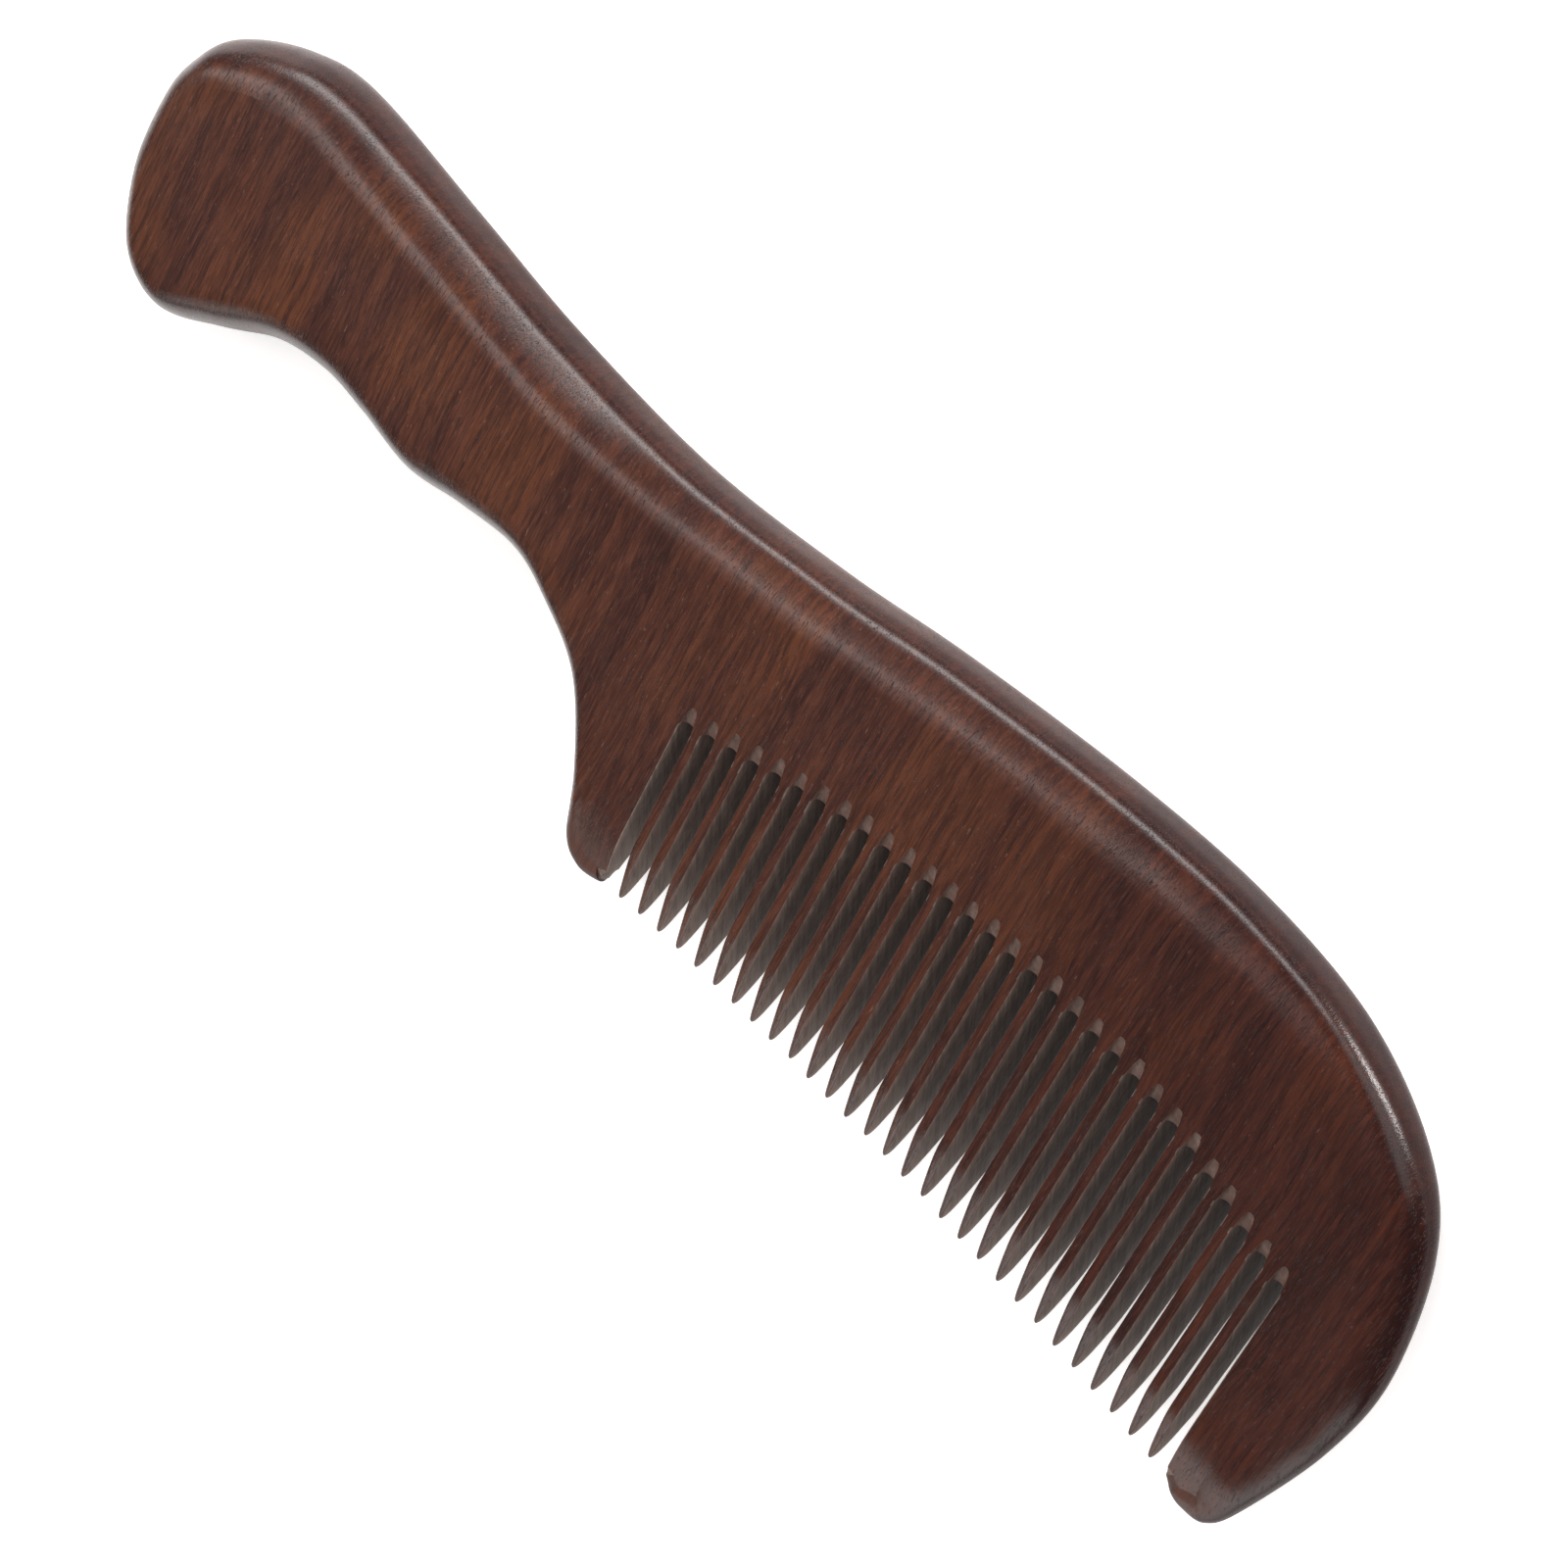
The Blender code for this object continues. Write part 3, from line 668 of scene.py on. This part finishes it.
class Wood:
    """Adds nodes to one material, with short calls."""

    def __init__(self, name):
        self.material = bpy.data.materials.new(name)
        self.material.use_nodes = True
        self.tree = self.material.node_tree
        self.shader = self.tree.nodes["Principled BSDF"]
        self.place = self.node("ShaderNodeTexCoord").outputs["Object"]

    def node(self, kind, settings=None, **inputs):
        """A new node; i0, i1 and so on name its sockets by number, other words by name."""
        node = self.tree.nodes.new(kind)
        for key, value in (settings or {}).items():
            setattr(node, key, value)
        for key, value in inputs.items():
            socket = node.inputs[int(key[1:])] if key[0] == "i" and key[1:].isdigit() \
                else node.inputs[key.replace("_", " ")]
            self.put(socket, value)
        return node

    def put(self, socket, value):
        if isinstance(value, bpy.types.NodeSocket):
            self.tree.links.new(value, socket)
        else:
            socket.default_value = value

    def math(self, operation, a, b=0.0):
        return self.node("ShaderNodeMath", {"operation": operation}, i0=a, i1=b).outputs[0]

    def vector(self, operation, a, b):
        return self.node("ShaderNodeVectorMath", {"operation": operation}, i0=a, i1=b).outputs[0]

    def ramp(self, value, low, high):
        """0 below low, 1 above high, smooth between."""
        node = self.node("ShaderNodeMapRange", {"interpolation_type": "SMOOTHSTEP"},
                         Value=value)
        node.inputs["From Min"].default_value = low
        node.inputs["From Max"].default_value = high
        return node.outputs["Result"]

    def noise(self, place, size, detail=3.0, rough=0.5):
        """Noise whose grains measure size millimetres along each axis."""
        scale = tuple(1000.0 / s for s in size)
        scaled = self.vector("MULTIPLY", place, scale)
        node = self.node("ShaderNodeTexNoise", Vector=scaled)
        node.inputs["Scale"].default_value = 1.0
        node.inputs["Detail"].default_value = detail
        node.inputs["Roughness"].default_value = rough
        return node.outputs["Fac"]

    def mix(self, share, a, b, blend="MIX"):
        node = self.node("ShaderNodeMix", {"data_type": "RGBA", "blend_type": blend})
        self.put(node.inputs[0], share)
        self.put(node.inputs[6], a)
        self.put(node.inputs[7], b)
        return node.outputs[2]

    def tint(self, colour, where, strength, other):
        """A colour moved towards another where a mask says so, at most by the strength."""
        return self.mix(self.math("MULTIPLY", where, strength), colour, other)

    def bump(self, height, distance, strength=1.0, normal=None):
        node = self.node("ShaderNodeBump", Height=height)
        node.inputs["Distance"].default_value = distance
        node.inputs["Strength"].default_value = strength
        if normal is not None:
            self.put(node.inputs["Normal"], normal)
        return node.outputs["Normal"]


def rgb(*values):
    return (*values, 1.0)


def wood_figure(wood):
    """The figure of the board, shared by every surface cut from it: colour, fibre and pores."""
    drift = wood.noise(wood.place, (26, 60, 30), 2.0)
    shift = wood.math("MULTIPLY", wood.math("SUBTRACT", drift, 0.5), 0.006)
    bend = wood.node("ShaderNodeCombineXYZ", X=shift, Y=0.0, Z=shift).outputs[0]
    place = wood.vector("ADD", wood.place, bend)
    ribbon = wood.ramp(wood.noise(place, (2.6, 45, 5), 3.0, 0.6), 0.40, 0.60)
    streak = wood.ramp(wood.noise(place, (0.7, 12, 1.6), 4.0, 0.65), 0.44, 0.62)
    fibre = wood.noise(place, (0.15, 2.4, 0.3), 2.0, 0.6)
    patch = wood.ramp(wood.noise(place, (13, 24, 12), 2.0), 0.44, 0.62)
    thread = wood.ramp(wood.noise(place, (0.32, 7.0, 0.7), 3.0, 0.6), 0.48, 0.62)
    pores = wood.ramp(wood.noise(place, (0.12, 1.7, 0.2), 1.0, 0.5), 0.62, 0.70)
    flecks = wood.ramp(wood.noise(place, (0.2, 1.2, 0.3), 1.0, 0.5), 0.72, 0.78)
    toe = wood.ramp(wood.node("ShaderNodeSeparateXYZ", Vector=wood.place).outputs[0],
                    0.012, 0.075)
    colour = wood.mix(ribbon, rgb(0.068, 0.022, 0.013), rgb(0.036, 0.012, 0.009))
    colour = wood.tint(colour, patch, 0.60, rgb(0.092, 0.030, 0.012))
    colour = wood.tint(colour, streak, 0.60, rgb(0.022, 0.007, 0.006))
    colour = wood.tint(colour, wood.ramp(fibre, 0.40, 0.72), 0.36, rgb(0.130, 0.050, 0.030))
    colour = wood.tint(colour, thread, 0.45, rgb(0.018, 0.007, 0.006))
    colour = wood.tint(colour, pores, 0.55, rgb(0.010, 0.004, 0.004))
    colour = wood.tint(colour, flecks, 0.45, rgb(0.190, 0.105, 0.075))
    darker = wood.mix(1.0, colour, rgb(0.56, 0.42, 0.44), "MULTIPLY")
    colour = wood.tint(colour, toe, 0.85, darker)
    return place, colour, fibre, pores


def near_tips(wood, full, none):
    """1 below the height full, falling to 0 at the height none, both above the middle tip."""
    height = wood.node("ShaderNodeSeparateXYZ", Vector=wood.place).outputs[1]
    low, high = (ORIGIN[1] + full * MM, ORIGIN[1] + none * MM)
    return wood.math("SUBTRACT", 1.0, wood.ramp(height, low, high))


def polished_wood():
    """Oiled and polished faces, with painted shade where they stand on edge, and worn near the
    tips.
    """
    wood = Wood("polished_rosewood")
    place, colour, fibre, pores = wood_figure(wood)
    grain = wood.math("ADD", wood.math("MULTIPLY", fibre, 0.6),
                      wood.math("MULTIPLY", wood.noise(place, (0.13, 0.55, 0.2), 2.0), 0.5))
    height = wood.math("SUBTRACT", grain, wood.math("MULTIPLY", pores, 0.8))
    normal = wood.bump(height, 0.00004, 0.7)
    waves = wood.noise(wood.place, (5, 9, 5), 2.0)
    normal = wood.bump(waves, 0.00012, 0.45, normal)
    swells = wood.noise(wood.place, (17, 13, 10), 1.0)
    normal = wood.bump(swells, 0.00045, 1.0, normal)
    rough = wood.math("ADD", 0.21, wood.math("MULTIPLY", wood.noise(wood.place, (4, 9, 4)), 0.08))
    rough = wood.math("ADD", rough, wood.math("MULTIPLY", pores, 0.18))
    worn = wood.math("MULTIPLY", near_tips(wood, -1.0, 4.0), 0.30)
    colour = wood.mix(worn, colour, rgb(0.125, 0.070, 0.055))
    wood.put(wood.shader.inputs["Roughness"],
             wood.math("ADD", rough, wood.math("MULTIPLY", worn, 0.4)))
    wood.put(wood.shader.inputs["Normal"], normal)
    outward = wood.node("ShaderNodeTexCoord").outputs["Normal"]
    upward = wood.math("ABSOLUTE",
                       wood.node("ShaderNodeSeparateXYZ", Vector=outward).outputs[2])
    flat = wood.ramp(upward, 0.25, 0.70)
    # Painted shade: faces that stand on edge, tilted away from straight up, get a darker colour
    side = wood.math("SUBTRACT", 1.0, wood.ramp(upward, 0.78, 0.995))
    colour = wood.mix(side, colour, wood.mix(1.0, colour, rgb(0.43, 0.34, 0.37), "MULTIPLY"))
    wood.put(wood.shader.inputs["Base Color"], colour)
    wood.put(wood.shader.inputs["Specular IOR Level"],
             wood.math("ADD", 0.14, wood.math("MULTIPLY", flat, 0.18)))
    return wood.material


def sawn_wood(name, pale, bare, depth):
    """Bare wood off the saw: greyer, matte, with fine marks across the cut, and painted light on
    the walls near the tips.
    """
    wood = Wood(name)
    _, colour, fibre, _ = wood_figure(wood)
    tilted = wood.node("ShaderNodeVectorRotate", {"rotation_type": "X_AXIS"},
                       Vector=wood.place, Angle=1.0).outputs[0]
    marks = wood.noise(tilted, (3.0, 0.35, 5.0), 3.0, 0.6)
    dust = wood.noise(wood.place, (0.5, 2.0, 0.5), 3.0, 0.6)
    colour = wood.mix(pale, colour, bare)
    # Painted light: walls are lighter near the tips, where the slots stand open, and stay darker
    # deeper in, where shade falls
    colour = wood.tint(colour, near_tips(wood, 2.0, 14.0), 0.45, rgb(0.230, 0.180, 0.150))
    colour = wood.tint(colour, wood.ramp(marks, 0.45, 0.75), 0.34, rgb(0.240, 0.200, 0.180))
    shaded = wood.math("SUBTRACT", 1.0, wood.ramp(marks, 0.34, 0.52))
    colour = wood.tint(colour, shaded, 0.45, rgb(0.045, 0.036, 0.034))
    colour = wood.tint(colour, wood.ramp(dust, 0.45, 0.72), 0.35, rgb(0.220, 0.160, 0.130))
    height = wood.math("ADD", marks, wood.math("MULTIPLY", fibre, 0.5))
    wood.put(wood.shader.inputs["Base Color"], colour)
    wood.shader.inputs["Roughness"].default_value = 0.62
    wood.shader.inputs["Specular IOR Level"].default_value = 0.3
    wood.put(wood.shader.inputs["Normal"], wood.bump(height, depth, 0.6))
    return wood.material


def piece(name, shell, materials, nodes):
    """A shell made into an object that stands for one of the frame's nodes."""
    points = np.array(shell.points) * MM + np.array(ORIGIN)
    mesh = bpy.data.meshes.new(name)
    mesh.from_pydata(points.tolist(), [], shell.faces)
    mesh.polygons.foreach_set("material_index", [LOOK_OF[kind] for kind in shell.kinds])
    for material in materials:
        mesh.materials.append(material)
    mesh.shade_smooth()
    mesh.set_sharp_from_angle(angle=SHARP_ANGLE)
    volume = sum(np.dot(points[f[0]], np.cross(points[f[i]], points[f[i + 1]]))
                 for f in shell.faces for i in range(1, len(f) - 1)) / 6
    if volume < 0:
        mesh.flip_normals()
    custom = []
    for polygon in mesh.polygons:
        kind = shell.kinds[polygon.index]
        for index in polygon.vertices:
            known = shell.normals[index]
            if kind == "joint":
                custom.append(tuple(polygon.normal))
            elif known is None or kind in ("sawn", "runout"):
                custom.append((0.0, 0.0, 0.0))
            else:
                custom.append(tuple(known))
    mesh.normals_split_custom_set(custom)
    mesh.update()
    obj = bpy.data.objects.new(name, mesh)
    bpy.context.scene.collection.objects.link(obj)
    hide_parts(*nodes)
    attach(obj, "root")


def frame_origin():
    """Where the frame has the middle tooth's tip, on the mid-plane."""
    low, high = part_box(f"tooth_{(TOOTH_COUNT + 1) // 2:02d}")
    return ((low.x + high.x) / 2, low.y, (low.z + high.z) / 2)


ORIGIN = frame_origin()


def build_comb():
    """One piece of wood for each node of the frame."""
    stations = outline_stations()
    rail_strip = [edge_column(s, RAIL_DEPTH) for s in stations]
    rail_normals = strip_normals(rail_strip)
    strip = [edge_column(s, plate_depth(s)) for s in stations]
    normals = strip_normals(strip)
    polished = polished_wood()
    sawn = sawn_wood("sawn_rosewood", 0.60, rgb(0.120, 0.094, 0.078), 0.00004)
    torn = sawn_wood("torn_rosewood", 0.70, rgb(0.130, 0.070, 0.052), 0.00015)
    looks = [polished, sawn, torn]
    members = {
        "handle": build_handle(stations, strip, normals),
        "back_rail": build_rail(rail_strip, rail_normals),
        "web": build_web(stations),
        "heel_guard": build_heel_guard(stations, strip, normals),
        "toe_guard": build_toe_guard(stations, strip, normals),
    }
    for node, shell in members.items():
        piece(node + "_wood", shell, looks, [node])
    for number in range(1, TOOTH_COUNT + 1):
        node = f"tooth_{number:02d}"
        piece(node + "_wood", build_tooth(number), looks, [node])


# Studio

def build_floor():
    """A plain pale floor at the height on which the comb rests."""
    mesh = bpy.data.meshes.new("floor")
    corners = ((-1, -1), (1, -1), (1, 1), (-1, 1))
    mesh.from_pydata([(x * FLOOR_HALF, y * FLOOR_HALF, 0) for x, y in corners], [],
                     [(0, 1, 2, 3)])
    floor = bpy.data.objects.new("floor", mesh)
    bpy.context.scene.collection.objects.link(floor)
    material = bpy.data.materials.new("pale_floor")
    material.use_nodes = True
    shader = material.node_tree.nodes["Principled BSDF"]
    shader.inputs["Base Color"].default_value = (0.95, 0.95, 0.95, 1)
    shader.inputs["Roughness"].default_value = 0.9
    shader.inputs["Specular IOR Level"].default_value = 0.1
    shader.inputs["Emission Color"].default_value = (1, 1, 1, 1)
    shader.inputs["Emission Strength"].default_value = FLOOR_GLOW
    mesh.materials.append(material)


def softbox(name, direction, size, brightness):
    """A rectangular light that faces the comb from a direction, its first side along X."""
    light = bpy.data.lights.new(name, "AREA")
    light.shape = "RECTANGLE"
    light.size, light.size_y = size
    light.color = LIGHT_COLOUR
    light.energy = brightness * math.pi * size[0] * size[1]
    lamp = bpy.data.objects.new(name, light)
    bpy.context.scene.collection.objects.link(lamp)
    away = Vector(direction).normalized()
    across = (Vector((1, 0, 0)) - away * away.x).normalized()
    turn = Matrix((across, away.cross(across), away)).transposed()
    lamp.matrix_world = Matrix.Translation(away * LIGHT_DISTANCE) @ turn.to_4x4()


def build_world():
    """Even white light from all round."""
    world = bpy.data.worlds.new("studio")
    world.use_nodes = True
    background = world.node_tree.nodes["Background"]
    background.inputs["Color"].default_value = (1, 1, 1, 1)
    background.inputs["Strength"].default_value = WORLD_STRENGTH
    bpy.context.scene.world = world


def build_camera():
    camera = bpy.data.cameras.new("camera")
    camera.lens = CAMERA_LENS
    camera.sensor_width = 36.0
    camera.clip_start = 0.01
    camera.clip_end = 20.0
    viewer = bpy.data.objects.new("camera", camera)
    bpy.context.scene.collection.objects.link(viewer)
    turn = Matrix((Vector(CAMERA_RIGHT), -Vector(CAMERA_DOWN),
                   -Vector(CAMERA_FORWARD))).transposed()
    place = Vector(ORIGIN) + Vector(CAMERA_PLACE) * MM
    viewer.matrix_world = Matrix.Translation(place) @ turn.to_4x4()
    bpy.context.scene.camera = viewer


build_comb()
build_floor()
build_world()
for light_name, settings in LIGHTS.items():
    softbox(light_name, *settings)
build_camera()
bpy.context.scene.view_settings.view_transform = "Standard"
